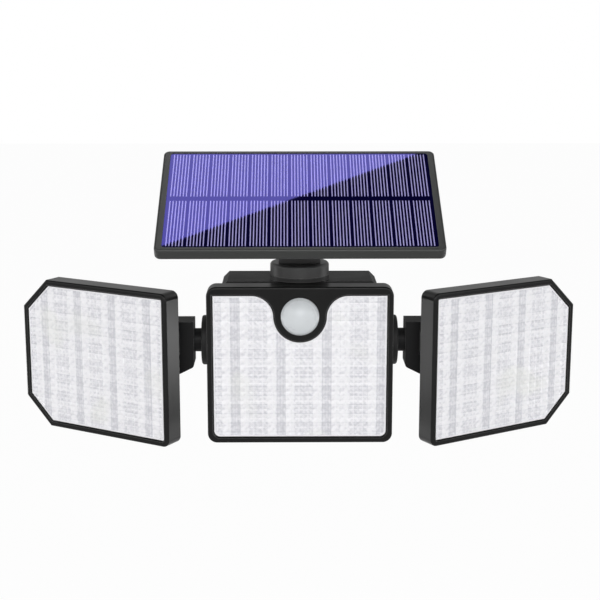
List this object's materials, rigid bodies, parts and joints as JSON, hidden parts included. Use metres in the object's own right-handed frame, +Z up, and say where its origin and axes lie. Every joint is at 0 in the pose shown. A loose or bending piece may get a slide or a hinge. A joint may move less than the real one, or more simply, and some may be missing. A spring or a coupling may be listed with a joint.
{
  "type": "motion sensor security light",
  "caption": "Solar wall light: a centre head with a domed motion sensor, turning side heads on tilting arms, and a solar panel on a swivel and tilt hinge above.",
  "frame": {"origin": "centre of the wall bracket's rear face, on the wall", "axes": "+X to the viewer's right, +Y into the wall, +Z up"},
  "size_m": [0.3868, 0.1071, 0.1926],
  "materials": {
    "black_housing": "satin moulded black plastic",
    "lens": "white prismatic moulded lens",
    "circuit_board": "white solder mask",
    "led_chip": "phosphor-coated chip",
    "seal_rubber": "soft black rubber",
    "fastener_steel": "zinc-plated steel",
    "sensor_dome": "milky moulded sensor lens",
    "sensor_metal": "nickel-plated can",
    "battery_sleeve": "shrink sleeve",
    "solar_board": "dark laminate backing",
    "solar_cell": "dark blue silicon cells",
    "clear_cover": "clear glossy laminate sheet",
    "button_rubber": "soft-touch button"
  },
  "bodies": {
    "lamp_body": {"centre_bezel": "black_housing", "centre_lens": "lens", "centre_led_board": "circuit_board", "centre_leds": "led_chip", "centre_gasket": "seal_rubber", "centre_housing": "black_housing", "centre_screws": "fastener_steel", "sensor_dome": "sensor_dome", "sensor_board": "circuit_board", "sensor_can": "sensor_metal", "battery_case": "black_housing", "neck_screws": "fastener_steel", "batteries": "battery_sleeve", "control_board": "circuit_board", "switch_board": "circuit_board", "cover_gasket": "seal_rubber", "back_cover": "black_housing", "cover_screws": "fastener_steel", "wall_bracket": "black_housing", "lock_screws": "fastener_steel"},
    "power_button": {"power_button": "button_rubber"},
    "left_arm": {"left_arm": "black_housing", "left_arm_seal": "seal_rubber", "left_arm_washer": "fastener_steel", "left_arm_screw": "fastener_steel", "left_hinge_bolt": "fastener_steel", "left_hinge_nut": "fastener_steel"},
    "left_head": {"left_bezel": "black_housing", "left_lens": "lens", "left_led_board": "circuit_board", "left_leds": "led_chip", "left_gasket": "seal_rubber", "left_rear_shell": "black_housing", "left_shell_screws": "fastener_steel"},
    "right_arm": {"right_arm": "black_housing", "right_arm_seal": "seal_rubber", "right_arm_washer": "fastener_steel", "right_arm_screw": "fastener_steel", "right_hinge_bolt": "fastener_steel", "right_hinge_nut": "fastener_steel"},
    "right_head": {"right_bezel": "black_housing", "right_lens": "lens", "right_led_board": "circuit_board", "right_leds": "led_chip", "right_gasket": "seal_rubber", "right_rear_shell": "black_housing", "right_shell_screws": "fastener_steel"},
    "panel_swivel": {"swivel_base": "black_housing", "swivel_washer": "fastener_steel", "swivel_screw": "fastener_steel", "panel_bolt": "fastener_steel", "panel_nut": "fastener_steel"},
    "solar_panel": {"panel_frame": "black_housing", "solar_board": "solar_board", "solar_cells": "solar_cell", "solar_cover": "clear_cover", "panel_bracket": "black_housing", "bracket_screws": "fastener_steel"}
  },
  "joints": [
    {"name": "mode_button_press", "type": "slide", "parent": "lamp_body", "child": "power_button", "axis": [0, 0, 1], "range_m": [0, 0.001], "stiffness_N_per_m": 800, "springref_m": -0.0005},
    {"name": "left_arm_swivel", "type": "hinge", "parent": "lamp_body", "child": "left_arm", "pos_m": [-0.0666, -0.047, 0.009], "axis": [1, 0, 0], "range_deg": [-45, 45]},
    {"name": "left_head_turn", "type": "hinge", "parent": "left_arm", "child": "left_head", "pos_m": [-0.09, -0.047, 0.009], "axis": [0, 0, -1], "range_deg": [-30, 60]},
    {"name": "right_arm_swivel", "type": "hinge", "parent": "lamp_body", "child": "right_arm", "pos_m": [0.0666, -0.047, 0.009], "axis": [1, 0, 0], "range_deg": [-45, 45]},
    {"name": "right_head_turn", "type": "hinge", "parent": "right_arm", "child": "right_head", "pos_m": [0.09, -0.047, 0.009], "axis": [0, 0, 1], "range_deg": [-30, 60]},
    {"name": "panel_swivel_turn", "type": "hinge", "parent": "lamp_body", "child": "panel_swivel", "pos_m": [0, -0.053, 0.056], "axis": [0, 0, 1], "range_deg": [-90, 90]},
    {"name": "panel_tilt", "type": "hinge", "parent": "panel_swivel", "child": "solar_panel", "pos_m": [0, -0.053, 0.0916], "axis": [1, 0, 0], "range_deg": [-62, 25]}
  ]
}
